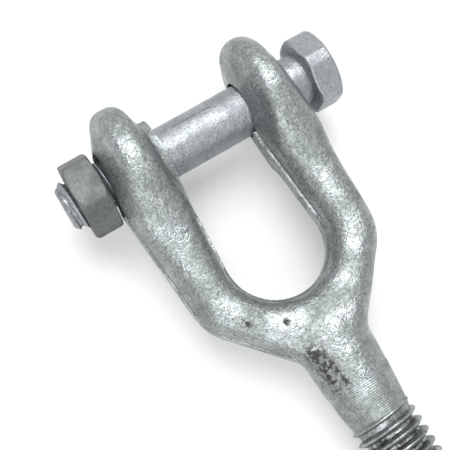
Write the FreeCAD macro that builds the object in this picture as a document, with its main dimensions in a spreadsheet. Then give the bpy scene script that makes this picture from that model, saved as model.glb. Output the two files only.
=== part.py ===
import FreeCAD, Part
import math
import os
import Sketcher

# Galvanised forged jaw end of a rigging screw, with its clevis bolt and nut.
# Millimetres. Origin at the middle of the bolt, X along the bolt towards its head,
# the threaded shank along -Y, Z up through the flat of the fork.

SIZES = {
    # fork, measured over the trimmed die lands
    "gap_width": 12.94,
    "jaw_width": 32.5,
    "throat_depth": 27.7,
    "crotch_bulge": 1.03,
    "eye_radius": 10.2,
    "eye_blend_radius": 18.8,
    "arm_height": 9.5,
    "ease_inner_start": 1.5,
    "ease_inner_radius": 80.0,
    "ease_outer_start": 1.5,
    "ease_outer_radius": 50.0,
    "right_ear_inset": 0.6,
    "shoulder_radius": 5.62,
    "shoulder_inset": 7.13,
    "shoulder_rise": 4.44,
    "root_half_width": 4.16,
    "root_hollow_radius": 3.53,
    "root_drop": 11.13,
    "root_length": 2.44,
    # rounding of the die-forged section, largest at the ears
    "ear_round": 3.0,
    "elbow_round": 2.9,
    # ears, whose faces lean in towards a narrow rounded rim
    "ear_inner_foot": 2.9,
    "ear_inner_lean": 2.1,
    "ear_outer_foot": 3.6,
    "ear_outer_lean": 2.9,
    "ear_rim_trim": 0.1,
    "ear_crown_round": 2.2,
    "ear_foot_round": 5.0,
    # trimmed land left where the two dies met
    "land_inner_proud": 0.44,
    "land_outer_proud": 0.22,
    "land_height": 2.62,
    "land_eye_radius": 5.75,
    "land_blend_radius": 8.75,
    # neck and threaded shank
    "neck_nose_radius": 6.56,
    "neck_drop": 7.94,
    "neck_radius": 5.38,
    "neck_barrel": 0.19,
    "neck_length": 12.2,
    "neck_junction_round": 3.1,
    "blank_radius": 4.38,
    "thread_radius": 4.7625,
    "thread_length": 57.15,
    "thread_end_chamfer": 0.9,
    # clevis bolt
    "bolt_radius": 3.96875,
    "bolt_thread_radius": 3.91,
    "bolt_thread_length": 15.0,
    "bolt_end_chamfer": 0.9,
    "bolt_stickout": 2.0,
    "head_across_flats": 11.11,
    "head_height": 4.3,
    "head_chamfer": 0.9,
    "head_turn": 4.0,
    "head_play": 1.25,
    "hole_clearance": 0.4,
    # hexagon nut
    "nut_across_flats": 11.11,
    "nut_height": 4.4,
    "nut_chamfer": 0.75,
    "nut_turn": 26.0,
    "nut_bore_clearance": 0.05,
    "nut_bore_chamfer": 0.5,
    "nut_seat_gap": 0.05,
}

PLATE_MARGIN = 2.5
FLAT_SHARE = 0.80
SIDE_SHARE = 0.90
ARM_SHARE = 0.45
BEVEL_SLOPE = 0.6
TINY = 1e-6
ON_SURFACE = 1e-3

doc = FreeCAD.newDocument("jaw_end")
sheet = doc.addObject("Spreadsheet::Sheet", "Sizes")
for row, (alias, value) in enumerate(SIZES.items(), start=1):
    sheet.set(f"A{row}", alias)
    sheet.set(f"B{row}", str(value))
    sheet.setAlias(f"B{row}", alias)
doc.recompute()


def size(alias):
    return SIZES[alias]


def bind(target, **expressions):
    """Tie properties of an object to expressions over the size sheet."""
    for prop, expression in expressions.items():
        target.setExpression(prop, expression)
    return target


# Sketch helpers. A path is a list of pieces: ("line", p, q) or ("arc", centre, p, q, ccw).

def draw_path(sketch, path, smooth):
    """Add a closed path and join its ends; smooth holds the joints that are tangent."""
    ends = []
    for piece in path:
        if piece[0] == "line":
            start, finish = (FreeCAD.Vector(*p, 0) for p in piece[1:3])
            index = sketch.addGeometry(Part.LineSegment(start, finish))
            ends.append((index, 1, 2))
            continue
        centre, p, q, ccw = piece[1:]
        first, last = (p, q) if ccw else (q, p)
        circle = Part.Circle(FreeCAD.Vector(*centre, 0), FreeCAD.Vector(0, 0, 1), math.dist(centre, p))
        a = math.atan2(first[1] - centre[1], first[0] - centre[0])
        b = math.atan2(last[1] - centre[1], last[0] - centre[0])
        index = sketch.addGeometry(Part.ArcOfCircle(circle, a, b if b > a else b + 2 * math.pi))
        ends.append((index, 1, 2) if ccw else (index, 2, 1))
    for i, here in enumerate(ends):
        after = ends[(i + 1) % len(ends)]
        kind = "Tangent" if i in smooth else "Coincident"
        sketch.addConstraint(Sketcher.Constraint(kind, here[0], here[2], after[0], after[1]))
    return ends


def limit(sketch, constraint, expression=None):
    """Add a constraint and tie its value to the size sheet."""
    index = sketch.addConstraint(constraint)
    if expression:
        sketch.setExpression(f"Constraints[{index}]", expression)


def place_x(sketch, end, value, expression):
    limit(sketch, Sketcher.Constraint("DistanceX", -1, 1, *end, value), expression)


def place_y(sketch, end, value, expression):
    limit(sketch, Sketcher.Constraint("DistanceY", -1, 1, *end, value), expression)


def drop_y(sketch, end, value, expression):
    """Place a point a positive distance below the sketch origin."""
    limit(sketch, Sketcher.Constraint("DistanceY", *end, -1, 1, value), expression)


def radius_of(sketch, index, value, expression):
    limit(sketch, Sketcher.Constraint("Radius", index, value), expression)


def same_side_tangent(c1, r1, c2, r2):
    """Ends of the tangent that keeps both circles on its left-hand side, seen from above."""
    dx, dy = c2[0] - c1[0], c2[1] - c1[1]
    turn = math.atan2(dy, dx) + math.acos((r1 - r2) / math.hypot(dx, dy))
    out = (math.cos(turn), math.sin(turn))
    return tuple((c[0] + r * out[0], c[1] + r * out[1]) for c, r in ((c1, r1), (c2, r2)))


def crossing_tangent(c1, r1, c2, r2, side):
    """Ends of the tangent that passes between two circles."""
    dx, dy = c2[0] - c1[0], c2[1] - c1[1]
    turn = math.atan2(dy, dx) + side * math.acos((r1 + r2) / math.hypot(dx, dy))
    out = (math.cos(turn), math.sin(turn))
    return (c1[0] + r1 * out[0], c1[1] + r1 * out[1]), (c2[0] - r2 * out[0], c2[1] - r2 * out[1])


def fork_plan(name, inner_proud, outer_proud, inset):
    """Half of the fork seen from above, on the +X side, set back from the trimmed land.

    inner_proud and outer_proud name the sizes of the setback, or are None on the land itself.
    inset names how far the outside of the ear stands in from the jaw's half width, or is None.
    """
    inner = size(inner_proud) if inner_proud else 0.0
    outer = size(outer_proud) if outer_proud else 0.0
    inset_term = f" - Sizes.{inset}" if inset else ""
    inner_term = f" + Sizes.{inner_proud}" if inner_proud else ""
    outer_term = f" - Sizes.{outer_proud}" if outer_proud else ""
    hollow_term = f" + Sizes.{outer_proud}" if outer_proud else ""

    gap = size("gap_width") / 2 + inner
    out = size("jaw_width") / 2 - outer - (size(inset) if inset else 0.0)
    top = size("eye_radius") + PLATE_MARGIN
    crotch_radius = size("gap_width") / 2 + size("crotch_bulge") + inner
    crotch = (0.0, size("gap_width") / 2 + size("crotch_bulge") - size("throat_depth"))
    ease_in = (gap + size("ease_inner_radius"), -size("ease_inner_start"))
    ease_out = (out - size("ease_outer_radius"), -size("ease_outer_start"))
    shoulder_radius = size("shoulder_radius") - outer
    shoulder = (size("jaw_width") / 2 - size("shoulder_inset"), size("shoulder_rise") - size("throat_depth"))
    root = size("root_half_width") - outer
    hollow_radius = size("root_hollow_radius") + outer
    hollow = (root + hollow_radius, -size("throat_depth") - size("root_drop"))
    end = hollow[1] - size("root_length")

    ear_in, crotch_side = crossing_tangent(ease_in, size("ease_inner_radius"), crotch, crotch_radius, -1)
    ear_out, shoulder_top = same_side_tangent(ease_out, size("ease_outer_radius"), shoulder, shoulder_radius)
    shoulder_foot, hollow_top = crossing_tangent(shoulder, shoulder_radius, hollow, hollow_radius, 1)
    crotch_foot = (0.0, crotch[1] - crotch_radius)

    path = [
        ("line", (gap, top), (gap, ease_in[1])),
        ("arc", ease_in, (gap, ease_in[1]), ear_in, True),
        ("line", ear_in, crotch_side),
        ("arc", crotch, crotch_side, crotch_foot, False),
        ("line", crotch_foot, (0.0, end)),
        ("line", (0.0, end), (root, end)),
        ("line", (root, end), (root, hollow[1])),
        ("arc", hollow, (root, hollow[1]), hollow_top, False),
        ("line", hollow_top, shoulder_foot),
        ("arc", shoulder, shoulder_foot, shoulder_top, True),
        ("line", shoulder_top, ear_out),
        ("arc", ease_out, ear_out, (out, ease_out[1]), True),
        ("line", (out, ease_out[1]), (out, top)),
        ("line", (out, top), (gap, top)),
    ]
    sketch = doc.addObject("Sketcher::SketchObject", name)
    ends = draw_path(sketch, path, smooth={0, 1, 2, 6, 7, 8, 9, 10, 11})
    (wall_in, ease1, arm_in, bowl, axis, foot, side, hollow_arc, vee, elbow, arm_out, ease2, wall_out, tip) = (
        e[0] for e in ends)
    for line in (wall_in, axis, side, wall_out):
        limit(sketch, Sketcher.Constraint("Vertical", line))
    for line in (foot, tip):
        limit(sketch, Sketcher.Constraint("Horizontal", line))
    place_x(sketch, (wall_in, 1), gap, f"Sizes.gap_width / 2{inner_term}")
    place_x(sketch, (wall_out, 1), out, f"Sizes.jaw_width / 2{outer_term}{inset_term}")
    place_y(sketch, (wall_in, 1), top, f"Sizes.eye_radius + {PLATE_MARGIN}")
    radius_of(sketch, ease1, size("ease_inner_radius"), "Sizes.ease_inner_radius")
    drop_y(sketch, (ease1, 3), size("ease_inner_start"), "Sizes.ease_inner_start")
    radius_of(sketch, ease2, size("ease_outer_radius"), "Sizes.ease_outer_radius")
    drop_y(sketch, (ease2, 3), size("ease_outer_start"), "Sizes.ease_outer_start")
    limit(sketch, Sketcher.Constraint("PointOnObject", bowl, 3, -2))
    limit(sketch, Sketcher.Constraint("PointOnObject", axis, 1, -2))
    radius_of(sketch, bowl, crotch_radius, f"Sizes.gap_width / 2 + Sizes.crotch_bulge{inner_term}")
    drop_y(sketch, (bowl, 3), -crotch[1], "Sizes.throat_depth - Sizes.gap_width / 2 - Sizes.crotch_bulge")
    radius_of(sketch, elbow, shoulder_radius, f"Sizes.shoulder_radius{outer_term}")
    place_x(sketch, (elbow, 3), shoulder[0], "Sizes.jaw_width / 2 - Sizes.shoulder_inset")
    drop_y(sketch, (elbow, 3), -shoulder[1], "Sizes.throat_depth - Sizes.shoulder_rise")
    radius_of(sketch, hollow_arc, hollow_radius, f"Sizes.root_hollow_radius{hollow_term}")
    place_x(sketch, (side, 1), root, f"Sizes.root_half_width{outer_term}")
    drop_y(sketch, (hollow_arc, 3), -hollow[1], "Sizes.throat_depth + Sizes.root_drop")
    drop_y(sketch, (foot, 1), -end, "Sizes.throat_depth + Sizes.root_drop + Sizes.root_length")
    return sketch


def fork_side(name, eye, blend, height):
    """Outline of the fork seen along the bolt: a round eye that runs into the arm.

    eye and blend name radii, height names the full height of the arm.
    """
    half = size(height) / 2
    reach = size(eye) + size(blend)
    lift = half + size(blend)
    back = -math.sqrt(reach ** 2 - lift ** 2)
    share = size(eye) / reach
    end = -(size("throat_depth") + size("root_drop") + size("root_length") + PLATE_MARGIN)
    top = (back * share, lift * share)
    path = [
        ("arc", (0.0, 0.0), (top[0], -top[1]), top, True),
        ("arc", (back, lift), top, (back, half), False),
        ("line", (back, half), (end, half)),
        ("line", (end, half), (end, -half)),
        ("line", (end, -half), (back, -half)),
        ("arc", (back, -lift), (back, -half), (top[0], -top[1]), False),
    ]
    sketch = doc.addObject("Sketcher::SketchObject", name)
    sketch.Placement.Rotation = FreeCAD.Rotation(
        FreeCAD.Vector(0, 1, 0), FreeCAD.Vector(0, 0, 1), FreeCAD.Vector(1, 0, 0), "XYZ")
    ends = draw_path(sketch, path, smooth={0, 1, 4, 5})
    rim, upper, crown, back_end, belly, lower = (e[0] for e in ends)
    limit(sketch, Sketcher.Constraint("Coincident", rim, 3, -1, 1))
    radius_of(sketch, rim, size(eye), f"Sizes.{eye}")
    radius_of(sketch, upper, size(blend), f"Sizes.{blend}")
    radius_of(sketch, lower, size(blend), f"Sizes.{blend}")
    limit(sketch, Sketcher.Constraint("Horizontal", crown))
    limit(sketch, Sketcher.Constraint("Vertical", back_end))
    limit(sketch, Sketcher.Constraint("Horizontal", belly))
    place_y(sketch, (crown, 2), half, f"Sizes.{height} / 2")
    drop_y(sketch, (belly, 1), half, f"Sizes.{height} / 2")
    limit(sketch, Sketcher.Constraint("DistanceX", back_end, 1, -1, 1, -end),
          f"Sizes.throat_depth + Sizes.root_drop + Sizes.root_length + {PLATE_MARGIN}")
    return sketch


def extrude(name, sketch, length):
    """Solid of a sketch, centred on the sketch plane."""
    block = doc.addObject("Part::Extrusion", name)
    block.Base = sketch
    block.DirMode = "Normal"
    block.Solid = True
    block.Symmetric = True
    return bind(block, LengthFwd=length)


def mirrored(name, source, normal):
    """Copy of a solid on the other side of a plane through the origin."""
    other = doc.addObject("Part::Mirroring", name)
    other.Source = source
    other.Normal = normal
    return other


def fused(name, *solids):
    whole = doc.addObject("Part::MultiFuse", name)
    whole.Shapes = list(solids)
    whole.Refine = True
    return whole


def shared(name, *solids):
    """What two or more solids have in common."""
    overlap = doc.addObject("Part::MultiCommon", name)
    overlap.Shapes = list(solids)
    return overlap


def fork_plate(name, inner_proud, outer_proud):
    """Both halves of a fork plan, thicker than the forging. The right ear is the thinner one."""
    height = f"2 * Sizes.eye_radius + {PLATE_MARGIN}"
    right = extrude(f"{name}_right", fork_plan(f"{name}_right_plan", inner_proud, outer_proud, "right_ear_inset"),
                    height)
    facing = extrude(f"{name}_facing", fork_plan(f"{name}_left_plan", inner_proud, outer_proud, None), height)
    return fused(f"{name}_plate", right, mirrored(f"{name}_left", facing, FreeCAD.Vector(1, 0, 0)))


def make_land():
    """Trimmed strip all along the fork, widened to a round seat on the inner face of the left ear."""
    side = fork_side("land_side", "land_eye_radius", "land_blend_radius", "land_height")
    bind(side, **{"Placement.Base.x": "-(Sizes.gap_width + Sizes.jaw_width) / 8"})
    seat = extrude("land_seat", side, "(Sizes.gap_width + Sizes.jaw_width) / 4")
    strip = doc.addObject("Part::Box", "land_strip")
    foot = "Sizes.throat_depth + Sizes.root_drop + Sizes.root_length"
    bind(strip, Length=f"Sizes.jaw_width + {PLATE_MARGIN}", Width=f"{foot} + {PLATE_MARGIN}",
         Height="Sizes.land_height",
         **{"Placement.Base.x": f"-(Sizes.jaw_width + {PLATE_MARGIN}) / 2",
            "Placement.Base.y": f"-({foot} + {PLATE_MARGIN})", "Placement.Base.z": "-Sizes.land_height / 2"})
    return shared("land", fork_plate("land", None, None), fused("land_outline", seat, strip))


def wall_top_edges(shape):
    """Edges where the fork's walls meet its top and bottom, leaving out those square to X and Z."""
    found = []
    for number, edge in enumerate(shape.Edges, start=1):
        step = edge.Vertexes[-1].Point - edge.Vertexes[0].Point
        straight = edge.Curve.TypeId == "Part::GeomLine"
        upright = abs(step.x) < TINY and abs(step.y) < TINY
        across = abs(step.y) < TINY and abs(step.z) < TINY
        if not (straight and (upright or across)):
            found.append(number)
    return found


def section_round(depth):
    """Rounding of the forged section at a distance from the bolt towards the shank."""
    ear_wall = ((size("jaw_width") - size("gap_width")) / 2 - size("right_ear_inset")
                - size("land_inner_proud") - size("land_outer_proud"))
    arm_outside = size("jaw_width") / 2 - size("shoulder_inset") + size("shoulder_radius") - size("land_outer_proud")
    arm_inside = size("gap_width") / 2 + size("crotch_bulge") + size("land_inner_proud")
    ear = min(size("ear_round"), FLAT_SHARE * ear_wall / 2)
    elbow = min(size("elbow_round"), ear, SIDE_SHARE * size("arm_height") / 2,
                ARM_SHARE * (arm_outside - arm_inside))
    ear_end = size("eye_radius") / 2
    elbow_start = size("throat_depth") - size("shoulder_rise")
    share = (depth - ear_end) / (elbow_start - ear_end)
    return ear + (elbow - ear) * min(max(share, 0.0), 1.0)


def on_both(edge, shells):
    """True for an edge that lies on every one of the shells."""
    span = edge.LastParameter - edge.FirstParameter
    for share in (0.1, 0.5, 0.9):
        spot = Part.Vertex(edge.valueAt(edge.FirstParameter + share * span))
        if any(shell.distToShape(spot)[0] > ON_SURFACE for shell in shells):
            return False
    return True


def softened(corners, rounds):
    """Closed clockwise path through corners, each rounded by a tangent arc of its radius."""
    path = []
    smooth = set()
    start = corners[0]
    for i, (corner, radius) in enumerate(zip(corners[1:] + corners[:1], rounds[1:] + rounds[:1]), start=1):
        after = corners[(i + 1) % len(corners)]
        before = corners[i - 1]
        if not radius:
            path.append(("line", start, corner))
            start = corner
            continue
        back = [(b - c) / math.dist(before, corner) for b, c in zip(before, corner)]
        ahead = [(a - c) / math.dist(after, corner) for a, c in zip(after, corner)]
        half = math.acos(back[0] * ahead[0] + back[1] * ahead[1]) / 2
        reach = radius / math.tan(half)
        middle = [b + a for b, a in zip(back, ahead)]
        scale = radius / math.sin(half) / math.hypot(*middle)
        centre = (corner[0] + middle[0] * scale, corner[1] + middle[1] * scale)
        first = (corner[0] + back[0] * reach, corner[1] + back[1] * reach)
        second = (corner[0] + ahead[0] * reach, corner[1] + ahead[1] * reach)
        path += [("line", start, first), ("arc", centre, first, second, False)]
        smooth |= {len(path) - 2, len(path) - 1}
        start = second
    return path, smooth


def ear_profile(name, inset):
    """Section of an ear from the bolt's axis out to its rim: X across, the radius upwards."""
    inner = size("gap_width") / 2 + size("land_inner_proud")
    outer = size("jaw_width") / 2 - size("land_outer_proud") - (size(inset) if inset else 0.0)
    rim = size("eye_radius") - size("ear_rim_trim")
    corners = [
        (inner, 0.0),
        (inner, size("ear_inner_foot")),
        (inner + size("ear_inner_lean"), rim),
        (outer - size("ear_outer_lean"), rim),
        (outer, size("ear_outer_foot")),
        (outer, 0.0),
    ]
    crown = size("ear_crown_round")
    path, smooth = softened(corners, [0, 0, crown, crown, size("ear_foot_round"), 0])
    sketch = doc.addObject("Sketcher::SketchObject", name)
    ends = draw_path(sketch, path, smooth)
    wall_in, lean_in, crown_in, rim_line, crown_out, lean_out, foot_arc, wall_out, axis = (e[0] for e in ends)
    inner_term = "Sizes.gap_width / 2 + Sizes.land_inner_proud"
    outer_term = "Sizes.jaw_width / 2 - Sizes.land_outer_proud" + (f" - Sizes.{inset}" if inset else "")
    rim_term = "Sizes.eye_radius - Sizes.ear_rim_trim"
    for line in (wall_in, wall_out):
        limit(sketch, Sketcher.Constraint("Vertical", line))
    limit(sketch, Sketcher.Constraint("Horizontal", rim_line))
    limit(sketch, Sketcher.Constraint("PointOnObject", axis, 1, -1))
    limit(sketch, Sketcher.Constraint("PointOnObject", axis, 2, -1))
    place_x(sketch, (wall_in, 1), inner, inner_term)
    place_y(sketch, (wall_in, 2), size("ear_inner_foot"), "Sizes.ear_inner_foot")
    place_x(sketch, (axis, 1), outer, outer_term)
    place_y(sketch, (rim_line, 1), rim, rim_term)
    radius_of(sketch, crown_in, crown, "Sizes.ear_crown_round")
    radius_of(sketch, crown_out, crown, "Sizes.ear_crown_round")
    radius_of(sketch, foot_arc, size("ear_foot_round"), "Sizes.ear_foot_round")
    for corner, line, term in ((corners[2], lean_in, f"{inner_term} + Sizes.ear_inner_lean"),
                               (corners[3], lean_out, f"{outer_term} - Sizes.ear_outer_lean")):
        point = sketch.addGeometry(Part.Point(FreeCAD.Vector(*corner, 0)), True)
        limit(sketch, Sketcher.Constraint("PointOnObject", point, 1, line))
        limit(sketch, Sketcher.Constraint("PointOnObject", point, 1, rim_line))
        place_x(sketch, (point, 1), corner[0], term)
    point = sketch.addGeometry(Part.Point(FreeCAD.Vector(*corners[4], 0)), True)
    limit(sketch, Sketcher.Constraint("PointOnObject", point, 1, lean_out))
    limit(sketch, Sketcher.Constraint("PointOnObject", point, 1, wall_out))
    place_y(sketch, (point, 1), size("ear_outer_foot"), "Sizes.ear_outer_foot")
    return sketch


def ear_limit(name, inset):
    """What an ear on the +X side may fill: a round lens, run on towards the shank."""
    profile = ear_profile(f"{name}_profile", inset)
    lens = doc.addObject("Part::Revolution", f"{name}_lens")
    lens.Source = profile
    lens.Axis = FreeCAD.Vector(1, 0, 0)
    lens.Angle = 360
    lens.Solid = True
    upper = doc.addObject("Part::Extrusion", f"{name}_upper_run")
    upper.Base = profile
    upper.DirMode = "Normal"
    upper.Solid = True
    upper.Placement.Rotation = FreeCAD.Rotation(FreeCAD.Vector(1, 0, 0), 90)
    bind(upper, LengthFwd="Sizes.throat_depth")
    return fused(f"{name}_limit", lens, upper, mirrored(f"{name}_lower_run", upper, FreeCAD.Vector(0, 0, 1)))


def forging_limits():
    """Everything that the forging may fill: both ears and all that lies below them."""
    left = mirrored("left_ear_limit", ear_limit("facing_ear", None), FreeCAD.Vector(1, 0, 0))
    below = doc.addObject("Part::Box", "below_ears")
    reach = "sqrt((Sizes.eye_radius + Sizes.eye_blend_radius) ^ 2 - (Sizes.arm_height / 2 + Sizes.eye_blend_radius) ^ 2)"
    foot = "Sizes.throat_depth + Sizes.root_drop + Sizes.root_length"
    bind(below, Length=f"Sizes.jaw_width + {PLATE_MARGIN}", Width=f"{foot} + {PLATE_MARGIN} - {reach}",
         Height=f"Sizes.arm_height + {PLATE_MARGIN}",
         **{"Placement.Base.x": f"-(Sizes.jaw_width + {PLATE_MARGIN}) / 2",
            "Placement.Base.y": f"-({foot} + {PLATE_MARGIN})",
            "Placement.Base.z": f"-(Sizes.arm_height + {PLATE_MARGIN}) / 2"})
    return fused("forging_limits", ear_limit("right_ear", "right_ear_inset"), left, below)


def neck_and_shank():
    """Turned neck and shank: a domed root inside the fork, a barrelled neck, the thread's outside."""
    start = -(size("throat_depth") + size("neck_drop"))
    dome = (size("neck_radius") - size("neck_nose_radius"), start)
    apex = (0.0, start + math.sqrt(size("neck_nose_radius") ** 2 - dome[0] ** 2))
    shoulder = (size("neck_radius"), start)
    thread_start = start - size("neck_length")
    foot = (size("blank_radius"), thread_start)
    chord = (foot[0] - shoulder[0], foot[1] - shoulder[1])
    chord_length = math.hypot(*chord)
    barrel_radius = (chord_length ** 2 / 4 + size("neck_barrel") ** 2) / (2 * size("neck_barrel"))
    inward = (chord[1] / chord_length, -chord[0] / chord_length)
    reach = barrel_radius - size("neck_barrel")
    barrel = ((shoulder[0] + foot[0]) / 2 + reach * inward[0], (shoulder[1] + foot[1]) / 2 + reach * inward[1])
    step = size("thread_radius") - size("blank_radius")
    thread_end = thread_start - size("thread_length")
    chamfer = size("thread_end_chamfer")
    path = [
        ("arc", dome, shoulder, apex, True),
        ("line", apex, (0.0, thread_end)),
        ("line", (0.0, thread_end), (size("thread_radius") - chamfer, thread_end)),
        ("line", (size("thread_radius") - chamfer, thread_end), (size("thread_radius"), thread_end + chamfer)),
        ("line", (size("thread_radius"), thread_end + chamfer), (size("thread_radius"), thread_start - step)),
        ("line", (size("thread_radius"), thread_start - step), foot),
        ("arc", barrel, foot, shoulder, True),
    ]
    sketch = doc.addObject("Sketcher::SketchObject", "neck_profile")
    ends = draw_path(sketch, path, smooth=set())
    dome_arc, axis, end_face, chamfer_line, crest, lead, barrel_arc = (e[0] for e in ends)
    start_term = "Sizes.throat_depth + Sizes.neck_drop"
    thread_term = f"{start_term} + Sizes.neck_length"
    end_term = f"{thread_term} + Sizes.thread_length"
    radius_of(sketch, dome_arc, size("neck_nose_radius"), "Sizes.neck_nose_radius")
    place_x(sketch, (dome_arc, 1), size("neck_radius"), "Sizes.neck_radius")
    drop_y(sketch, (dome_arc, 1), -start, start_term)
    drop_y(sketch, (dome_arc, 3), -start, start_term)
    limit(sketch, Sketcher.Constraint("PointOnObject", axis, 1, -2))
    limit(sketch, Sketcher.Constraint("Vertical", axis))
    limit(sketch, Sketcher.Constraint("Horizontal", end_face))
    limit(sketch, Sketcher.Constraint("Vertical", crest))
    drop_y(sketch, (end_face, 1), -thread_end, end_term)
    place_x(sketch, (crest, 1), size("thread_radius"), "Sizes.thread_radius")
    place_x(sketch, (chamfer_line, 1), size("thread_radius") - chamfer,
            "Sizes.thread_radius - Sizes.thread_end_chamfer")
    drop_y(sketch, (chamfer_line, 2), -thread_end - chamfer, f"{end_term} - Sizes.thread_end_chamfer")
    place_x(sketch, (lead, 2), size("blank_radius"), "Sizes.blank_radius")
    drop_y(sketch, (lead, 2), -thread_start, thread_term)
    drop_y(sketch, (lead, 1), step - thread_start, f"{thread_term} + Sizes.thread_radius - Sizes.blank_radius")
    chord_term = "((Sizes.neck_radius - Sizes.blank_radius) ^ 2 + Sizes.neck_length ^ 2)"
    radius_of(sketch, barrel_arc, barrel_radius,
              f"({chord_term} / 4 + Sizes.neck_barrel ^ 2) / (2 * Sizes.neck_barrel)")
    neck = doc.addObject("Part::Revolution", "neck_turned")
    neck.Source = sketch
    neck.Axis = FreeCAD.Vector(0, 1, 0)
    neck.Base = FreeCAD.Vector(0, 0, 0)
    neck.Angle = 360
    neck.Solid = True
    return neck


def make_jaw():
    """One forging: two ears on tapering arms, a neck, and the shank for the thread."""
    depth = extrude("forging_depth", fork_side("forging_side", "eye_radius", "eye_blend_radius", "arm_height"),
                    f"Sizes.jaw_width + {PLATE_MARGIN}")
    blank = shared("forging_blank", fork_plate("forging", "land_inner_proud", "land_outer_proud"), depth)
    doc.recompute()
    forging = doc.addObject("Part::Fillet", "forging_rounded")
    forging.Base = blank
    rounded = []
    for number in wall_top_edges(blank.Shape):
        ends = blank.Shape.Edges[number - 1].Vertexes
        rounded.append((number, section_round(-ends[0].Y), section_round(-ends[-1].Y)))
    forging.Edges = rounded
    eared = shared("forging_eared", forging, forging_limits())
    neck = neck_and_shank()
    necked = fused("forging_necked", eared, neck)
    doc.recompute()
    shells = [Part.Compound(source.Shape.Faces) for source in (eared, neck)]
    junction = doc.addObject("Part::Fillet", "neck_junction")
    junction.Base = necked
    junction.Edges = [(number, size("neck_junction_round"), size("neck_junction_round"))
                      for number, edge in enumerate(necked.Shape.Edges, start=1) if on_both(edge, shells)]
    landed = fused("forging_with_land", junction, make_land())
    bore = doc.addObject("Part::Cylinder", "bolt_bore")
    bind(bore, Radius="Sizes.bolt_radius + Sizes.hole_clearance",
         Height=f"Sizes.jaw_width + 2 * {PLATE_MARGIN}")
    bore.Placement.Rotation = FreeCAD.Rotation(FreeCAD.Vector(0, 1, 0), 90)
    bind(bore, **{"Placement.Base.x": f"-Sizes.jaw_width / 2 - {PLATE_MARGIN}"})
    jaw = doc.addObject("Part::Cut", "jaw")
    jaw.Base = landed
    jaw.Tool = bore
    return jaw


def turned_blank(body, name, points):
    """A revolved outline of (radius, height) points about the body's Z axis."""
    sketch = body.newObject("Sketcher::SketchObject", name)
    plane = next(f for f in body.Origin.OriginFeatures if f.Role == "XZ_Plane")
    sketch.AttachmentSupport = [(plane, "")]
    sketch.MapMode = "FlatFace"
    path = [("line", p[0], q[0]) for p, q in zip(points, points[1:] + points[:1])]
    ends = draw_path(sketch, path, smooth=set())
    for (point, radius_term, height_term), end in zip(points, ends):
        for axis, value, term in (("DistanceX", point[0], radius_term), ("DistanceY", point[1], height_term)):
            if abs(value) < TINY:
                limit(sketch, Sketcher.Constraint("PointOnObject", end[0], 1, -2 if axis == "DistanceX" else -1))
            else:
                limit(sketch, Sketcher.Constraint(axis, -1, 1, end[0], 1, value), term)
    return sketch


def hexagon(name, across_flats, height):
    """A hexagonal bar of a given width across its flats."""
    prism = doc.addObject("Part::Prism", name)
    prism.Polygon = 6
    return bind(prism, Circumradius=f"Sizes.{across_flats} / sqrt(3)", Height=height)


def new_body(name):
    body = doc.addObject("PartDesign::Body", name)
    doc.recompute()
    return body


def revolve(body, name, sketch):
    """Full turn of a sketch about the body's Z axis."""
    turned = body.newObject("PartDesign::Revolution", name)
    turned.Profile = sketch
    turned.ReferenceAxis = (sketch, ["V_Axis"])
    turned.Angle = 360
    return turned


def facing_x(piece, start):
    """Stand a piece made along Z on the X axis, with its foot at an expression for X."""
    piece.Placement.Rotation = FreeCAD.Rotation(FreeCAD.Vector(0, 1, 0), 90)
    bind(piece, **{"Placement.Base.x": start})


BOLT_REACH = ("(Sizes.head_play + Sizes.jaw_width + Sizes.nut_seat_gap"
              " + Sizes.nut_height + Sizes.bolt_stickout)")


def make_bolt():
    """Hexagon bolt, made upright with its threaded end at the foot, laid through both ears."""
    reach = (size("head_play") + size("jaw_width") + size("nut_seat_gap")
             + size("nut_height") + size("bolt_stickout"))
    body = new_body("bolt_turned")
    shank = size("bolt_radius")
    thread = size("bolt_thread_radius")
    cut = size("bolt_end_chamfer")
    run = size("bolt_thread_length")
    corner = size("head_across_flats") / math.sqrt(3)
    bevel = size("head_chamfer")
    top = reach + size("head_height")
    corner_term = "Sizes.head_across_flats / sqrt(3)"
    bevel_term = "Sizes.head_chamfer"
    top_term = f"{BOLT_REACH} + Sizes.head_height"
    points = [
        ((0.0, 0.0), None, None),
        ((thread - cut, 0.0), "Sizes.bolt_thread_radius - Sizes.bolt_end_chamfer", None),
        ((thread, cut), "Sizes.bolt_thread_radius", "Sizes.bolt_end_chamfer"),
        ((thread, run), "Sizes.bolt_thread_radius", "Sizes.bolt_thread_length"),
        ((shank, run + shank - thread), "Sizes.bolt_radius",
         "Sizes.bolt_thread_length + Sizes.bolt_radius - Sizes.bolt_thread_radius"),
        ((shank, reach), "Sizes.bolt_radius", BOLT_REACH),
        ((corner - bevel, reach), f"{corner_term} - {bevel_term}", BOLT_REACH),
        ((corner, reach + bevel * BEVEL_SLOPE), corner_term, f"{BOLT_REACH} + {bevel_term} * {BEVEL_SLOPE}"),
        ((corner, top - bevel), corner_term, f"{top_term} - {bevel_term}"),
        ((corner - bevel / BEVEL_SLOPE, top), f"{corner_term} - {bevel_term} / {BEVEL_SLOPE}", top_term),
        ((0.0, top), None, top_term),
    ]
    revolve(body, "bolt_outline", turned_blank(body, "bolt_profile", points))
    hexes = hexagon("head_hexagon", "head_across_flats", "Sizes.head_height")
    bind(hexes, **{"Placement.Base.z": BOLT_REACH, "Placement.Rotation.Angle": "Sizes.head_turn"})
    stem = doc.addObject("Part::Cylinder", "bolt_stem")
    bind(stem, Radius="Sizes.bolt_radius", Height=BOLT_REACH)
    bar = doc.addObject("Part::MultiFuse", "bolt_bar")
    bar.Shapes = [hexes, stem]
    bolt = doc.addObject("Part::MultiCommon", "clevis_bolt")
    bolt.Shapes = [body, bar]
    facing_x(bolt, f"Sizes.jaw_width / 2 + Sizes.head_play - {BOLT_REACH}")
    return bolt


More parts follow.
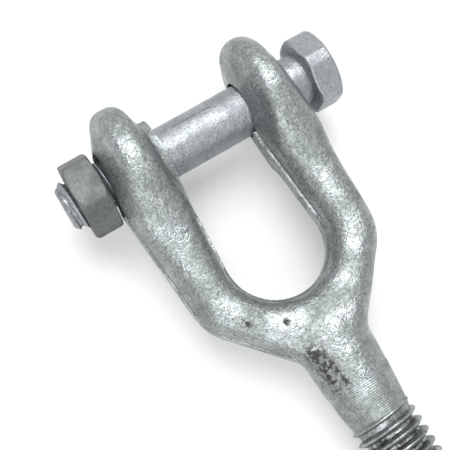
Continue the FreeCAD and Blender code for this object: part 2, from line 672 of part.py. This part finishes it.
def make_nut():
    """Hexagon nut, chamfered at both faces, bored to run on the bolt's thread."""
    corner = size("nut_across_flats") / math.sqrt(3)
    bevel = size("nut_chamfer")
    height = size("nut_height")
    bore = size("bolt_thread_radius") + size("nut_bore_clearance")
    flare = size("nut_bore_chamfer")
    corner_term = "Sizes.nut_across_flats / sqrt(3)"
    bore_term = "Sizes.bolt_thread_radius + Sizes.nut_bore_clearance"
    flare_term = f"{bore_term} + Sizes.nut_bore_chamfer"
    points = [
        ((bore + flare, 0.0), flare_term, None),
        ((corner - bevel, 0.0), f"{corner_term} - Sizes.nut_chamfer", None),
        ((corner, bevel * BEVEL_SLOPE), corner_term, f"Sizes.nut_chamfer * {BEVEL_SLOPE}"),
        ((corner, height - bevel * BEVEL_SLOPE), corner_term, f"Sizes.nut_height - Sizes.nut_chamfer * {BEVEL_SLOPE}"),
        ((corner - bevel, height), f"{corner_term} - Sizes.nut_chamfer", "Sizes.nut_height"),
        ((bore + flare, height), flare_term, "Sizes.nut_height"),
        ((bore, height - flare), bore_term, "Sizes.nut_height - Sizes.nut_bore_chamfer"),
        ((bore, flare), bore_term, "Sizes.nut_bore_chamfer"),
    ]
    body = new_body("nut_turned")
    revolve(body, "nut_outline", turned_blank(body, "nut_profile", points))
    hexes = hexagon("nut_hexagon", "nut_across_flats", "Sizes.nut_height")
    bind(hexes, **{"Placement.Rotation.Angle": "Sizes.nut_turn"})
    nut = doc.addObject("Part::MultiCommon", "hex_nut")
    nut.Shapes = [body, hexes]
    facing_x(nut, "-Sizes.jaw_width / 2 - Sizes.nut_seat_gap - Sizes.nut_height")
    return nut


pieces = [make_jaw(), make_bolt(), make_nut()]
doc.recompute()

for item in doc.Objects:
    if "Invalid" in item.State or "Error" in item.State:
        raise RuntimeError(f"{item.Label} failed to rebuild")
os.makedirs("parts", exist_ok=True)
for piece in pieces:
    shape = piece.Shape
    if shape.isNull() or not shape.isValid() or len(shape.Solids) != 1:
        raise RuntimeError(f"{piece.Label} is not one valid solid")
    shape.exportStep(os.path.join("parts", f"{piece.Label}.step"))
    print(f"{piece.Label}: {shape.Volume:.0f} cubic mm, {len(shape.Faces)} faces")
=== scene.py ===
import math

import bmesh
import bpy
from mathutils import Matrix, Vector, noise


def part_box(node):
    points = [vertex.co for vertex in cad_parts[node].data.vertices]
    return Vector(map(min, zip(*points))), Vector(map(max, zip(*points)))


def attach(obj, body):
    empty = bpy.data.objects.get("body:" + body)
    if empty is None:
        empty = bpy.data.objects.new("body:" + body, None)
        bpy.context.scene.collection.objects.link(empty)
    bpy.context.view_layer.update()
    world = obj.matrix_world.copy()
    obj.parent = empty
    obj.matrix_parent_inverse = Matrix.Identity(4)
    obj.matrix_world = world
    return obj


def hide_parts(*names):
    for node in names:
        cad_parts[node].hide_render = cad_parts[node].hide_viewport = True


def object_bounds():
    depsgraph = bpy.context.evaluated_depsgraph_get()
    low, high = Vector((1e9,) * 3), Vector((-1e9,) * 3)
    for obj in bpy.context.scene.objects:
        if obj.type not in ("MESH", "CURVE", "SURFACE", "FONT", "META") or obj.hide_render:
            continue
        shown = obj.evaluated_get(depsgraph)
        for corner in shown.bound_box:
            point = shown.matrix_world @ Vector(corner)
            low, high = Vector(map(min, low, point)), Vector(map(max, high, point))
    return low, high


# Galvanised jaw end with its clevis bolt and nut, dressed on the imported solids.
# Metres. X along the bolt towards its head, the threaded shank along -Y, Z up.

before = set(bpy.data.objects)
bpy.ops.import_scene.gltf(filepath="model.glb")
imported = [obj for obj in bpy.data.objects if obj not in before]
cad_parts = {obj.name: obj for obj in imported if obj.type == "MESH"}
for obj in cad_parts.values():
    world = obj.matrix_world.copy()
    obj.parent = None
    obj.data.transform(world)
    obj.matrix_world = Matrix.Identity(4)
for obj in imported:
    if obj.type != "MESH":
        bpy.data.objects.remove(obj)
cad_box = [list(corner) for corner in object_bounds()]


# Jaw: a drop forging of medium carbon steel, trimmed along the line where its dies met and
# dipped in molten zinc. The dip leaves a scaly, faintly lumpy skin, pitted on the neck where
# the steel had scaled before the bath.

MM = 0.001
SKIN_END = 42.2 * MM
SAME_POINT = 0.002 * MM
SKIN_EDGE = 0.85 * MM
SKIN_SPLITS = 5
PIT_EDGE = 0.28 * MM
PIT_SPLITS = 2
SEAT_END = 8.0 * MM
EAR_INSIDE = 7.6 * MM
LAND_EDGE = 1.6 * MM
CROWN_SOFTENINGS = 9
LAND_SOFTENINGS = 2
SOFTENING = 0.5
LUMP = 3.0 * MM
LUMP_DEPTH = 0.045 * MM
SCALE = 0.8 * MM
SCALE_DEPTH = 0.02 * MM
PIT = 0.42 * MM
PIT_DEPTH = 0.16 * MM
PIT_LEVEL = 0.35
PIT_SPREAD = 1.6
PITTED = [(Vector(centre) * MM, reach * MM) for centre, reach in (
    ((-3.6, -36.0, 3.8), 1.9),
    ((-3.5, -38.6, 3.9), 2.1),
    ((-3.3, -41.2, 4.0), 2.0),
    ((-4.82, -30.35, 4.75), 0.6),
    ((-9.6, -27.6, 4.3), 0.9),
    ((3.9, -27.0, 4.7), 0.5))]


def refine(shape, longest, passes, inside=None):
    """Split the edges longer than a length, all over or only inside a region."""
    for _ in range(passes):
        long_edges = [edge for edge in shape.edges if edge.calc_length() > longest
                      and (inside is None or inside(edge.verts[0].co) > 0)]
        bmesh.ops.subdivide_edges(shape, edges=long_edges, cuts=1)
        bmesh.ops.triangulate(shape, faces=[face for face in shape.faces if len(face.verts) > 3])


def pitted(place):
    """How badly the skin is pitted at a place: 1 in the middle of a patch, 0 outside it."""
    return max(max(0.0, 1.0 - (place - centre).length / reach) for centre, reach in PITTED)


def weather(shape):
    """Press the skin in by the lumps, scale and pits of the zinc coat, never outwards."""
    shape.normal_update()
    mark = shape.verts.layers.float.new("pitted")
    moves = []
    for vert in shape.verts:
        depth = LUMP_DEPTH * (1 + noise.noise(vert.co / LUMP))
        depth += SCALE_DEPTH * (1 + noise.noise(vert.co / SCALE))
        wear = min(1.0, PIT_SPREAD * pitted(vert.co))
        if wear > 0:
            depth += PIT_DEPTH * wear * max(0.0, PIT_LEVEL + noise.noise(vert.co / PIT))
        vert[mark] = wear
        moves.append(-depth * vert.normal)
    for vert, move in zip(shape.verts, moves):
        vert.co += move


skin = bmesh.new()
skin.from_mesh(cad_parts["jaw"].data)
bmesh.ops.remove_doubles(skin, verts=skin.verts, dist=SAME_POINT)
bmesh.ops.bisect_plane(skin, geom=skin.verts[:] + skin.edges[:] + skin.faces[:],
                       plane_co=(0, -SKIN_END, 0), plane_no=(0, -1, 0), clear_outer=True)
bmesh.ops.holes_fill(skin, edges=[edge for edge in skin.edges if edge.is_boundary])
bmesh.ops.triangulate(skin, faces=skin.faces)
refine(skin, SKIN_EDGE, SKIN_SPLITS)

# The crowns of the arms and ears are softened most, the trimmed land on the die line a little,
# and the ears' inner faces round the bolt and the cut across the neck not at all.
for softening in range(CROWN_SOFTENINGS):
    above = LAND_EDGE if softening >= LAND_SOFTENINGS else 0.0
    soft = [vert for vert in skin.verts
            if abs(vert.co.z) >= above and -vert.co.y < SKIN_END - SKIN_EDGE
            and (abs(vert.co.x) > EAR_INSIDE or -vert.co.y > SEAT_END)]
    bmesh.ops.smooth_vert(skin, verts=soft, factor=SOFTENING,
                          use_axis_x=True, use_axis_y=True, use_axis_z=True)
refine(skin, PIT_EDGE, PIT_SPLITS, pitted)
weather(skin)

# Neck and shank: turned down below the forged skin, which leaves fine ridges, then threaded
# with a coarse right-hand thread whose first crests are not full.

NECK_START = 35.64 * MM
NECK_LENGTH = 12.2 * MM
NECK_RADIUS = 5.38 * MM
NECK_BARREL = 0.19 * MM
NECK_IN_SKIN = 0.6 * MM
NECK_IN_THREAD = 1.5 * MM
NECK_POINT = 1.6 * MM
NECK_TAPER = 0.5 * MM
BLANK_RADIUS = 4.38 * MM
TURNED_OFF = 0.05 * MM
RIDGE = 0.30 * MM
RIDGE_HEIGHT = 0.06 * MM
RIDGE_ROWS = 4
RIDGE_FADE = 0.8 * MM
SHANK_RADIUS = 4.7625 * MM
SHANK_PITCH = 1.5875 * MM
SHANK_THREAD = 57.15 * MM
SHANK_DEPTH = 0.974 * MM
SHANK_RUN_OUT = 1.4 * SHANK_PITCH
END_CHAMFER = 0.9 * MM
THREAD_AROUND = 72
SPUN_AROUND = 144
SPUN_WELD = 0.001 * MM
THREAD_WELD = 0.01 * MM

# One turn of thread from root to crest and back: (share of the pitch, share of the depth).
THREAD_SHAPE = ((0.0, 0.0), (0.13, -0.05), (0.26, 0.02), (0.41, 0.52),
                (0.54, 0.94), (0.62, 1.0), (0.70, 0.94), (0.85, 0.52))


def spun(shape, profile):
    """Turn a profile of (radius, height) points all the way round Z and close its poles."""
    verts = [shape.verts.new((radius, 0, height)) for radius, height in profile]
    edges = [shape.edges.new(pair) for pair in zip(verts, verts[1:])]
    bmesh.ops.spin(shape, geom=verts + edges, cent=(0, 0, 0), axis=(0, 0, 1),
                   angle=2 * math.pi, steps=SPUN_AROUND, use_merge=True)
    bmesh.ops.remove_doubles(shape, verts=shape.verts, dist=SPUN_WELD)
    bmesh.ops.recalc_face_normals(shape, faces=shape.faces)


def set_radius(vert, radius):
    """Move a point straight out from the Z axis to a radius."""
    present = math.hypot(vert.co.x, vert.co.y)
    if present > 0:
        vert.co.x *= radius / present
        vert.co.y *= radius / present


def points_of(geometry):
    """The points among what an operator gives back."""
    return [item for item in geometry if isinstance(item, bmesh.types.BMVert)]


def screw(outside, pitch, depth, length, chamfer, blank, run_out):
    """A right-hand thread up Z, grown out of a blank over its run-out, with a chamfered end."""
    shape = bmesh.new()
    root = outside - depth
    verts = [shape.verts.new((root + share * depth, 0, phase * pitch))
             for phase, share in THREAD_SHAPE]
    verts.append(shape.verts.new((root, 0, pitch)))
    edges = [shape.edges.new(pair) for pair in zip(verts, verts[1:])]
    bmesh.ops.spin(shape, geom=verts + edges, cent=(0, 0, 0), axis=(0, 0, 1),
                   dvec=(0, 0, pitch / THREAD_AROUND), angle=2 * math.pi, steps=THREAD_AROUND,
                   use_merge=False)
    one_turn = shape.verts[:] + shape.edges[:] + shape.faces[:]
    for turn in range(1, math.ceil(length / pitch) + 1):
        copied = bmesh.ops.duplicate(shape, geom=one_turn)["geom"]
        bmesh.ops.translate(shape, verts=points_of(copied), vec=(0, 0, turn * pitch))
    bmesh.ops.remove_doubles(shape, verts=shape.verts, dist=THREAD_WELD)
    for vert in shape.verts:
        radius = math.hypot(vert.co.x, vert.co.y)
        share = min(1.0, max(0.0, vert.co.z / run_out))
        radius = blank + (radius - blank) * share * share * (3 - 2 * share)
        if vert.co.z > length:
            radius = (outside - chamfer) * max(0.0, 1 - (vert.co.z - length) / pitch)
            vert.co.z = length
        else:
            radius = min(radius, outside - chamfer + length - vert.co.z)
        set_radius(vert, radius)
    rim = [edge for edge in shape.edges if edge.is_boundary and edge.verts[0].co.z < length]
    inner = bmesh.ops.extrude_edge_only(shape, edges=rim)["geom"]
    bmesh.ops.pointmerge(shape, verts=points_of(inner), merge_co=(0, 0, run_out))
    bmesh.ops.remove_doubles(shape, verts=shape.verts, dist=THREAD_WELD)
    bmesh.ops.recalc_face_normals(shape, faces=shape.faces)
    return shape


def added(shape, extra, turn, start):
    """Add a shape made up the Z axis to another, turned to its own axis and moved to its start."""
    extra.transform(Matrix.Translation(start) @ turn)
    carrier = bpy.data.meshes.new("carrier")
    extra.to_mesh(carrier)
    extra.free()
    shape.from_mesh(carrier)
    bpy.data.meshes.remove(carrier)


def neck_radius(down):
    """Radius of the turned neck at a distance below its start: a slightly barrelled cone."""
    share = down / NECK_LENGTH
    cone = NECK_RADIUS + (BLANK_RADIUS - NECK_RADIUS) * share
    return cone + NECK_BARREL * 4 * share * (1 - share)


neck = bmesh.new()
neck_top = SKIN_END - NECK_START - NECK_IN_SKIN
neck_rows = round((NECK_LENGTH - neck_top) / (RIDGE / RIDGE_ROWS))
neck_outline = [(0.0, neck_top)]
for row in range(neck_rows + 1):
    down = neck_top + (NECK_LENGTH - neck_top) * row / neck_rows
    fade = min(1.0, (down - neck_top) / RIDGE_FADE)
    wave = math.cos(2 * math.pi * down / RIDGE) - 1
    neck_outline.append((neck_radius(down) - TURNED_OFF + RIDGE_HEIGHT / 2 * wave * fade, down))
neck_outline.append((BLANK_RADIUS - NECK_TAPER, NECK_LENGTH + NECK_IN_THREAD))
neck_outline.append((0.0, NECK_LENGTH + NECK_POINT))
spun(neck, neck_outline)
DOWN_SHANK = Matrix.Rotation(math.radians(90), 4, "X")
added(skin, neck, DOWN_SHANK, Vector((0, -NECK_START, 0)))
thread = screw(SHANK_RADIUS, SHANK_PITCH, SHANK_DEPTH, SHANK_THREAD + SHANK_PITCH, END_CHAMFER,
               BLANK_RADIUS - TURNED_OFF, SHANK_RUN_OUT)
added(skin, thread, DOWN_SHANK, Vector((0, SHANK_PITCH - NECK_START - NECK_LENGTH, 0)))


def piece(name, shape, body, sharp):
    """Make a finished piece of a shape. Edges that turn more than the angle stay sharp."""
    for face in shape.faces:
        face.smooth = True
    for edge in shape.edges:
        edge.smooth = not edge.is_manifold or edge.calc_face_angle(0) < math.radians(sharp)
    mesh = bpy.data.meshes.new(name)
    shape.to_mesh(mesh)
    shape.free()
    made = bpy.data.objects.new(name, mesh)
    bpy.context.scene.collection.objects.link(made)
    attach(made, body)
    return made


# Hot-dip zinc on all three pieces: sizes of its clouds, blotches, grains and specks, the noise
# levels between which each one comes in, and how much of it then shows.
# Near-black of the real pits and the bolt's seam, also used as painted shade in the thread roots.
GRIME_AND_SHADE = (0.065, 0.062, 0.06)
CLOUD = 3.6 * MM
BLOTCH = 0.9 * MM
GRAIN = 0.45 * MM
SPECK = 0.26 * MM
BUMP = 1.1 * MM
BUMP_HEIGHT = 0.15 * MM
SPECK_HEIGHT = 0.085 * MM
GRAIN_IN_CLOUD = 0.5
DARK_LEVEL = 0.38
PALE_LEVEL = 0.62
SPECK_LEVELS = (0.42, 0.30)
SPECK_SHARES = (0.0, 0.75)
SPECK_TONE = 0.35
GRIME_AND_SHADE_LEVELS = (0.0, 0.6)
BLOTCH_LEVELS = (0.56, 0.46)
BLOTCH_SHARES = (0.1, 1.0)
SHEEN_LEVELS = (0.35, 0.65)
DULLER = 0.14
SHINIER = 0.12
TURNED_ROUGH = 0.15


def galvanised(name, pale, dark, metal, roughness, sparkle):
    """Hot-dip zinc: cloudy grey, finely speckled, with a rough sparkling skin."""
    material = bpy.data.materials.new(name)
    material.use_nodes = True
    nodes = material.node_tree.nodes
    link = material.node_tree.links.new
    shader = nodes["Principled BSDF"]
    shader.inputs["Metallic"].default_value = metal
    place = nodes.new("ShaderNodeTexCoord").outputs["Object"]

    def mark(layer):
        attribute = nodes.new("ShaderNodeAttribute")
        attribute.attribute_name = layer
        return attribute.outputs["Fac"]

    def speckle(size, detail):
        texture = nodes.new("ShaderNodeTexNoise")
        texture.inputs["Scale"].default_value = 1 / size
        texture.inputs["Detail"].default_value = detail
        link(place, texture.inputs["Vector"])
        return texture.outputs["Fac"]

    def sum_of(first, second, share):
        mix = nodes.new("ShaderNodeMix")
        mix.inputs["Factor"].default_value = share
        link(first, mix.inputs["A"])
        link(second, mix.inputs["B"])
        return mix.outputs["Result"]

    def ranged(value, levels, shares):
        between = nodes.new("ShaderNodeMapRange")
        between.inputs["From Min"].default_value = levels[0]
        between.inputs["From Max"].default_value = levels[1]
        between.inputs["To Min"].default_value = shares[0]
        between.inputs["To Max"].default_value = shares[1]
        link(value, between.inputs["Value"])
        return between.outputs["Result"]

    def stained(colour, share, stain):
        mix = nodes.new("ShaderNodeMixRGB")
        link(share, mix.inputs["Fac"])
        link(colour, mix.inputs["Color1"])
        mix.inputs["Color2"].default_value = (*stain, 1.0)
        return mix.outputs["Color"]

    def times(first, second):
        product = nodes.new("ShaderNodeMath")
        product.operation = "MULTIPLY"
        link(first, product.inputs[0])
        link(second, product.inputs[1])
        return product.outputs[0]

    def raised(height, distance, strength, before=None):
        bump = nodes.new("ShaderNodeBump")
        bump.inputs["Distance"].default_value = distance
        link(strength, bump.inputs["Strength"])
        link(height, bump.inputs["Height"])
        if before:
            link(before, bump.inputs["Normal"])
        return bump.outputs["Normal"]

    cloud = speckle(CLOUD, detail=4)
    blotch = speckle(BLOTCH, detail=3)
    grain = speckle(GRAIN, detail=3)
    speck = speckle(SPECK, detail=2)
    ramp = nodes.new("ShaderNodeValToRGB")
    darker, paler = ramp.color_ramp.elements
    darker.position = DARK_LEVEL
    darker.color = (*dark, 1.0)
    paler.position = PALE_LEVEL
    paler.color = (*pale, 1.0)
    link(sum_of(cloud, grain, GRAIN_IN_CLOUD), ramp.inputs["Fac"])
    specked = stained(ramp.outputs["Color"], ranged(speck, SPECK_LEVELS, SPECK_SHARES),
                      [tone * SPECK_TONE for tone in dark])
    # The pitted mark darkens the colour towards near-black in blotches: real pits and seam, and
    # painted shade in the thread roots.
    wear = times(ranged(mark("pitted"), GRIME_AND_SHADE_LEVELS, (0.0, 1.0)),
                 ranged(blotch, BLOTCH_LEVELS, BLOTCH_SHARES))
    link(stained(specked, wear, GRIME_AND_SHADE), shader.inputs["Base Color"])
    link(ranged(cloud, SHEEN_LEVELS, (roughness + DULLER, roughness - SHINIER)),
         shader.inputs["Roughness"])
    rough_share = ranged(mark("turned"), (0.0, 1.0), (1.0, TURNED_ROUGH))
    bumps = raised(speckle(BUMP, detail=2), sparkle * BUMP_HEIGHT, rough_share)
    link(raised(speck, sparkle * SPECK_HEIGHT, rough_share, bumps), shader.inputs["Normal"])
    return material


# Past this share of a thread's depth a point lies on an end face, which gets no painted shade.
DEEPEST_ROOT = 1.2


def mark_turned(shape, axis, start, thread_start, outside, thread_depth, root_shade):
    """Mark what was turned smooth, and paint shade into the roots of a thread, darker the deeper.
    """
    grime_and_shade = shape.verts.layers.float.get("pitted") or shape.verts.layers.float.new("pitted")
    smooth = shape.verts.layers.float.new("turned")
    for vert in shape.verts:
        vert[smooth] = min(1.0, max(0.0, (start - vert.co[axis]) / SKIN_EDGE))
        depth = outside - math.hypot(*(vert.co[other] for other in range(3) if other != axis))
        share = depth / thread_depth
        # Painted shade: points down in a thread's roots are darkened, the deeper the darker.
        if vert.co[axis] < thread_start and 0 < share < DEEPEST_ROOT:
            vert[grime_and_shade] = root_shade * share


SHARP_EDGE = 38
# The shank thread's roots get painted shade.
mark_turned(skin, axis=1, start=-SKIN_END, thread_start=-NECK_START - NECK_LENGTH,
            outside=SHANK_RADIUS, thread_depth=SHANK_DEPTH, root_shade=0.6)
jaw = piece("jaw_forging", skin, "jaw", SHARP_EDGE)
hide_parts("jaw")
jaw.data.materials.append(galvanised("galvanised_forging", pale=(0.36, 0.39, 0.395),
                                     dark=(0.19, 0.213, 0.206), metal=0.85, roughness=0.40,
                                     sparkle=1.1))


# Clevis bolt: a steel bolt with a forged hexagon head, a plain shank that fits loosely in both
# ears and a rolled thread at its far end, galvanised smoother than the forging.

BOLT_RADIUS = 3.96875 * MM
BOLT_THREAD_RADIUS = 3.91 * MM
BOLT_PITCH = 1.4111 * MM
BOLT_DEPTH = 0.6 * MM
BOLT_RUN_OUT = 1.5 * BOLT_PITCH
BOLT_CHAMFER = 1.0 * MM
THREADED = 15.0 * MM
HAIR = 0.01 * MM
BOLT_ROWS = 40
HEAD_HEIGHT = 4.3 * MM
HEAD_TURN = 4.0
HEAD_WEAR = 0.45 * MM
HEAD_FOOT_ROUNDING = 1.25 * MM
HEAD_TOP_ROUNDING = 1.35 * MM
ACROSS_FLATS = 11.11 * MM
SIDE_ANGLE = 60
RIM_STEPS = 8
RIM_SLOPE = 1.3
SEAM_MIDDLE = -0.5 * MM
SEAM_LENGTH = 5.8 * MM
SEAM_LEAN = 27.0
SEAM_HALF_WIDTH = 1.5
SEAM_GRIME = 0.5

# Where the plain shank begins, inside the thread: (radius, height from the thread's start).
BOLT_BEGINS = ((0.0, -1.8 * MM), (BOLT_RADIUS - 0.6 * MM, -1.7 * MM),
               (BOLT_RADIUS - 0.03 * MM, -0.1 * MM), (BOLT_RADIUS - HAIR, 0.2 * MM))


def hexed(shape, turn, above, wear):
    """Press the turned blank in to a hexagon, its corners a little rounded off."""
    for vert in shape.verts:
        if vert.co.z < above:
            continue
        around = math.degrees(math.atan2(vert.co.y, vert.co.x))
        angle = (around - turn) % SIDE_ANGLE - SIDE_ANGLE / 2
        flat = ACROSS_FLATS / 2 / math.cos(math.radians(angle))
        limit = min(flat, ACROSS_FLATS / math.sqrt(3) - wear)
        if math.hypot(vert.co.x, vert.co.y) > limit:
            set_radius(vert, limit)


def crowned(inside, outside, foot, top, lower, upper):
    """Outline of a hexagon blank with rounded rims, from its foot out and up to its top."""
    corner = ACROSS_FLATS / math.sqrt(3)
    side = top - upper - foot - lower
    outline = [(inside, foot)]
    for step in range(RIM_STEPS + 1):
        angle = math.radians(90) * step / RIM_STEPS
        outline.append((corner - lower * RIM_SLOPE * (1 - math.sin(angle)),
                        foot + lower * (1 - math.cos(angle))))
    for step in range(1, RIM_STEPS):
        outline.append((corner, foot + lower + side * step / RIM_STEPS))
    for step in range(RIM_STEPS + 1):
        angle = math.radians(90) * step / RIM_STEPS
        outline.append((corner - upper * RIM_SLOPE * (1 - math.cos(angle)),
                        top - upper * (1 - math.sin(angle))))
    outline.append((outside, top))
    return outline


bolt = bmesh.new()
bolt_low, bolt_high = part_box("clevis_bolt")
head_foot = bolt_high.x - HEAD_HEIGHT
plain_start = bolt_low.x + THREADED
bolt_outline = [(radius, plain_start + height) for radius, height in BOLT_BEGINS]
for row in range(1, BOLT_ROWS):
    height = plain_start + (head_foot - plain_start) * row / BOLT_ROWS
    bolt_outline.append((BOLT_RADIUS - HAIR, height))
bolt_outline += crowned(BOLT_RADIUS, 0.0, head_foot, bolt_high.x, HEAD_FOOT_ROUNDING,
                        HEAD_TOP_ROUNDING)
spun(bolt, bolt_outline)
hexed(bolt, HEAD_TURN, head_foot - HAIR, HEAD_WEAR)
ALONG_BOLT = Matrix.Rotation(math.radians(90), 4, "Y")
bolt.transform(ALONG_BOLT)
thread = screw(BOLT_THREAD_RADIUS, BOLT_PITCH, BOLT_DEPTH, THREADED, BOLT_CHAMFER,
               BOLT_THREAD_RADIUS, BOLT_RUN_OUT)
TOWARDS_NUT = Matrix.Rotation(math.radians(-90), 4, "Y")
added(bolt, thread, TOWARDS_NUT, Vector((plain_start, 0, 0)))
# The bolt thread's roots get a lighter painted shade.
mark_turned(bolt, axis=0, start=plain_start, thread_start=plain_start,
            outside=BOLT_THREAD_RADIUS, thread_depth=BOLT_DEPTH, root_shade=0.25)

# A short dark seam of the rolled bar shows along the top of the shank.
grime_and_shade = bolt.verts.layers.float["pitted"]
for vert in bolt.verts:
    around = math.degrees(math.atan2(vert.co.y, vert.co.z))
    if (abs(vert.co.x - SEAM_MIDDLE) < SEAM_LENGTH / 2
            and abs(around - SEAM_LEAN) < SEAM_HALF_WIDTH):
        vert[grime_and_shade] = SEAM_GRIME
clevis_bolt = piece("clevis_bolt_finished", bolt, "bolt", SHARP_EDGE)
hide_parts("clevis_bolt")
clevis_bolt.data.materials.append(galvanised("galvanised_bolt", pale=(0.35, 0.375, 0.39),
                                             dark=(0.27, 0.29, 0.31), metal=0.7, roughness=0.42,
                                             sparkle=0.8))


# Nut: a hot-forged steel nut with both rims rounded off, tapped oversize after the zinc bath,
# so its faces are duller. It is screwed on to the bolt's thread up to the left ear.

NUT_TURN = 26.0
NUT_WEAR = 0.06 * MM
NUT_BORE = 3.97 * MM
NUT_ROUNDING = 0.8 * MM
NUT_SHARP_EDGE = 22
BORE_CHAMFER = 0.5 * MM
BORE_MOUTH = NUT_BORE + BORE_CHAMFER

nut = bmesh.new()
nut_low, nut_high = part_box("hex_nut")
nut_outline = crowned(BORE_MOUTH, BORE_MOUTH, nut_low.x, nut_high.x, NUT_ROUNDING, NUT_ROUNDING)
nut_outline.append((NUT_BORE, nut_high.x - BORE_CHAMFER))
nut_outline.append((NUT_BORE, nut_low.x + BORE_CHAMFER))
nut_outline.append((BORE_MOUTH, nut_low.x))
spun(nut, nut_outline)
hexed(nut, NUT_TURN, nut_low.x - HAIR, NUT_WEAR)
nut.transform(ALONG_BOLT)
hex_nut = piece("hex_nut_finished", nut, "nut", NUT_SHARP_EDGE)
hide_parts("hex_nut")
hex_nut.data.materials.append(galvanised("galvanised_nut", pale=(0.16, 0.172, 0.163),
                                         dark=(0.12, 0.13, 0.122), metal=0.3, roughness=0.60,
                                         sparkle=0.8))


# Stage: a pale sheet of paper that touches the ears and the shank's end, in a pale room. One
# wide soft lamp hangs above the tip of the jaw, and a weaker one fills in from the lower left.

EAR_RADIUS = 10.1 * MM
PAPER_SIZE = 12.0
PAPER_COLOUR = (0.64, 0.64, 0.64, 1.0)
PAPER_ROUGHNESS = 0.9
PAPER_GLOW = 0.28
LAMP_TARGET = Vector((0, -0.02, 0))
LAMP_DISTANCE = 2.0
LAMP_WIDTH = 1.67
ROOM_COLOUR = (1, 1, 1, 1)
ROOM_LIGHT = 0.45
ROOM_SEEN = 1.0


def brighter_where_seen(tree, plain, bright, output):
    """Show the camera and reflections the bright shader, and light the jaw end by the plain one."""
    rays = tree.nodes.new("ShaderNodeLightPath")
    seen = rays.outputs["Is Camera Ray"]
    for kind in ("Is Glossy Ray", "Is Transmission Ray"):
        either = tree.nodes.new("ShaderNodeMath")
        either.operation = "MAXIMUM"
        tree.links.new(seen, either.inputs[0])
        tree.links.new(rays.outputs[kind], either.inputs[1])
        seen = either.outputs[0]
    choice = tree.nodes.new("ShaderNodeMixShader")
    tree.links.new(seen, choice.inputs[0])
    tree.links.new(plain.outputs[0], choice.inputs[1])
    tree.links.new(bright.outputs[0], choice.inputs[2])
    tree.links.new(choice.outputs[0], tree.nodes[output].inputs["Surface"])


lean = math.atan2(EAR_RADIUS - SHANK_RADIUS, -cad_box[0][1])
bpy.ops.mesh.primitive_plane_add(size=PAPER_SIZE, location=(0, 0, -EAR_RADIUS / math.cos(lean)))
floor = bpy.context.object
floor.name = "floor"
floor.rotation_euler = (-lean, 0, 0)
paper = bpy.data.materials.new("paper")
paper.use_nodes = True
sheet = paper.node_tree.nodes["Principled BSDF"]
sheet.inputs["Base Color"].default_value = PAPER_COLOUR
sheet.inputs["Roughness"].default_value = PAPER_ROUGHNESS
glow = paper.node_tree.nodes.new("ShaderNodeEmission")
glow.inputs["Strength"].default_value = PAPER_GLOW
lit_sheet = paper.node_tree.nodes.new("ShaderNodeAddShader")
paper.node_tree.links.new(sheet.outputs[0], lit_sheet.inputs[0])
paper.node_tree.links.new(glow.outputs[0], lit_sheet.inputs[1])
brighter_where_seen(paper.node_tree, sheet, lit_sheet, "Material Output")
floor.data.materials.append(paper)


def soft_lamp(name, direction, power):
    """A round soft lamp that looks at the middle of the fork."""
    lamp = bpy.data.lights.new(name, "AREA")
    lamp.shape = "DISK"
    lamp.size = LAMP_WIDTH
    lamp.energy = power
    holder = bpy.data.objects.new(name, lamp)
    holder.location = LAMP_TARGET + Vector(direction).normalized() * LAMP_DISTANCE
    holder.rotation_euler = Vector(direction).to_track_quat("Z", "Y").to_euler()
    bpy.context.scene.collection.objects.link(holder)


soft_lamp("overhead_lamp", direction=(0.14, 0.35, 0.92), power=39.0)
soft_lamp("side_fill", direction=(-0.4, -0.65, 0.65), power=20.0)

world = bpy.data.worlds.new("studio")
bpy.context.scene.world = world
world.use_nodes = True
room = world.node_tree.nodes["Background"]
room.inputs["Color"].default_value = ROOM_COLOUR
room.inputs["Strength"].default_value = ROOM_LIGHT
seen_room = world.node_tree.nodes.new("ShaderNodeBackground")
seen_room.inputs["Strength"].default_value = ROOM_SEEN
brighter_where_seen(world.node_tree, room, seen_room, "World Output")


# Camera: where the photograph was taken from, almost straight above the fork and close to it,
# turned so that the shank runs down to the right and leaves the picture at its corner.

AZIMUTH = math.radians(-41.752)
ELEVATION = math.radians(75.451)
ROLL = math.radians(10.471)
FOCAL_PIXELS = 823.404
IMAGE_WIDTH = 450
SENSOR = 36.0
NEAREST_SEEN = 0.005
TARGET = Vector((-4.104, -13.692, 0.0)) * MM
DISTANCE = 118.41 * MM

ahead = Vector((-math.sin(AZIMUTH) * math.cos(ELEVATION), math.cos(AZIMUTH) * math.cos(ELEVATION),
                -math.sin(ELEVATION)))
level = ahead.cross(Vector((0, 0, 1))).normalized()
rise = level.cross(ahead)
across = level * math.cos(ROLL) + rise * math.sin(ROLL)
upward = rise * math.cos(ROLL) - level * math.sin(ROLL)
camera = bpy.data.cameras.new("camera")
camera.lens = FOCAL_PIXELS * SENSOR / IMAGE_WIDTH
camera.sensor_width = SENSOR
camera.clip_start = NEAREST_SEEN
viewer = bpy.data.objects.new("camera", camera)
turned = Matrix((across, upward, -ahead)).transposed().to_4x4()
viewer.matrix_world = Matrix.Translation(TARGET - ahead * DISTANCE) @ turned
bpy.context.scene.collection.objects.link(viewer)
bpy.context.scene.camera = viewer
bpy.context.scene.view_settings.view_transform = "Standard"
